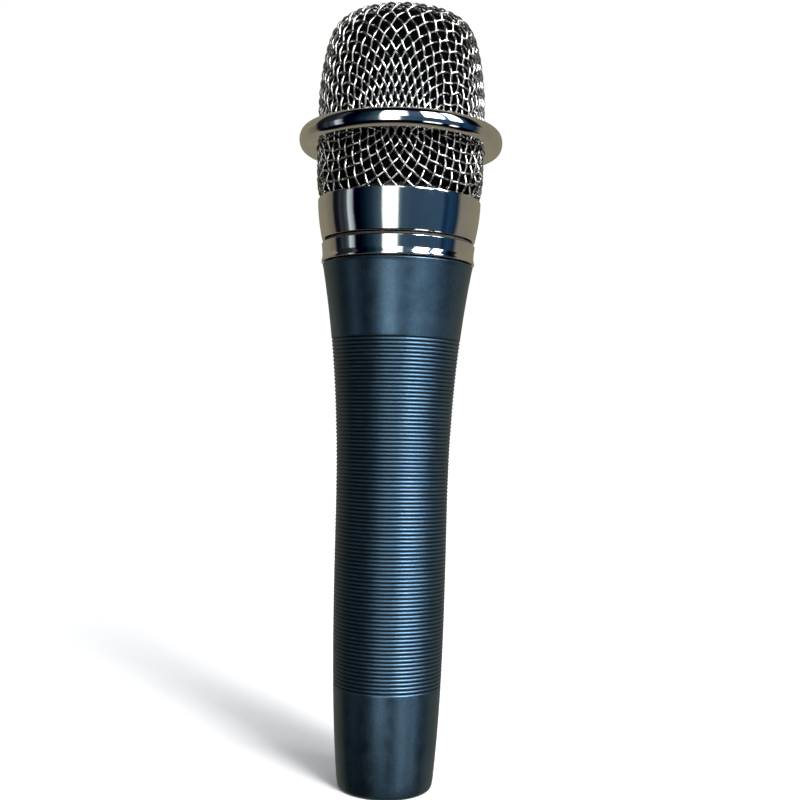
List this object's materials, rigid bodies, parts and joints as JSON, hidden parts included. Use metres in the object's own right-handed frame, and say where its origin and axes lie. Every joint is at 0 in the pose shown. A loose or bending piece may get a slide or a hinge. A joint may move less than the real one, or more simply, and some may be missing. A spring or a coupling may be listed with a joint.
{
  "type": "dynamic microphone",
  "caption": "Handheld dynamic vocal microphone: ribbed tapered handle, two chrome collars, woven wire grille with a halo ring, floating capsule, XLR tail.",
  "frame": {"origin": "centre of the tail rim, where the microphone stands upright", "axes": "+Z along the microphone's axis towards the head; +Y is the connector's key side; +X is to the right when the front is seen along +Y"},
  "size_m": [0.048, 0.048, 0.1817],
  "materials": {
    "handle_paint": "satin blue-grey metallic coating on turned aluminium, with fine ribs",
    "chrome": "mirror chrome plating",
    "grille_wire": "bright plated woven steel wire",
    "foam": "open-cell black acoustic foam",
    "rubber": "matte black rubber",
    "black_plastic": "black moulded plastic",
    "nickel": "nickel-plated sleeve",
    "pin_gold": "gold-plated brass contact",
    "steel": "plain machined steel",
    "spigot_metal": "machined threaded brass",
    "capsule_aluminium": "satin turned aluminium",
    "magnet_grey": "ground magnet alloy",
    "board_green": "green circuit board laminate",
    "diaphragm_film": "thin clear-white plastic film",
    "coil_copper": "enamelled copper wire winding",
    "lead_red": "red wire insulation",
    "lead_white": "white wire insulation"
  },
  "bodies": {
    "handle_body": {"handle": "handle_paint", "connector_sleeve": "nickel", "connector_insert": "black_plastic", "pin_1": "pin_gold", "pin_2": "pin_gold", "pin_3": "pin_gold", "earth_tag": "steel", "retaining_screw": "steel", "threaded_spigot": "spigot_metal", "lower_band": "chrome", "collar_gasket": "rubber", "capsule_carrier": "black_plastic", "upper_shock_ring": "rubber", "lower_shock_ring": "rubber", "lead_hot": "lead_red", "lead_cold": "lead_white"},
    "liner_body": {"foam_liner": "foam"},
    "grille_body": {"upper_collar": "chrome", "lower_mesh": "grille_wire", "upper_mesh": "grille_wire", "halo_ring": "chrome"},
    "capsule_body": {"capsule_housing": "capsule_aluminium", "rear_chamber": "black_plastic", "terminal_board": "board_green", "magnet_pot": "steel", "magnet": "magnet_grey", "pole_piece": "steel", "top_plate": "steel", "diaphragm_seat": "black_plastic", "front_resonator": "black_plastic"},
    "diaphragm_body": {"diaphragm": "diaphragm_film", "voice_coil": "coil_copper"}
  },
  "joints": [
    {"name": "grille_lift", "type": "slide", "parent": "handle_body", "child": "liner_body", "axis": [0, 0, 1], "range_m": [0, 0.00301]},
    {"name": "grille_turn", "type": "hinge", "parent": "liner_body", "child": "grille_body", "pos_m": [0, 0, 0.1277], "axis": [0, 0, 1], "range_deg": [0, 1080]},
    {"name": "capsule_float", "type": "slide", "parent": "handle_body", "child": "capsule_body", "axis": [0, 0, 1], "range_m": [-0.001, 0.001], "stiffness_N_per_m": 2500, "springref_m": 0.0001, "deforming": ["upper_shock_ring", "lower_shock_ring", "lead_hot", "lead_cold"]},
    {"name": "diaphragm_travel", "type": "slide", "parent": "capsule_body", "child": "diaphragm_body", "axis": [0, 0, 1], "range_m": [-0.0003, 0.0003], "stiffness_N_per_m": 600}
  ],
  "couplings": [
    {"joint": "grille_lift", "follows": "grille_turn", "m_per_rad": 0.00015915}
  ]
}
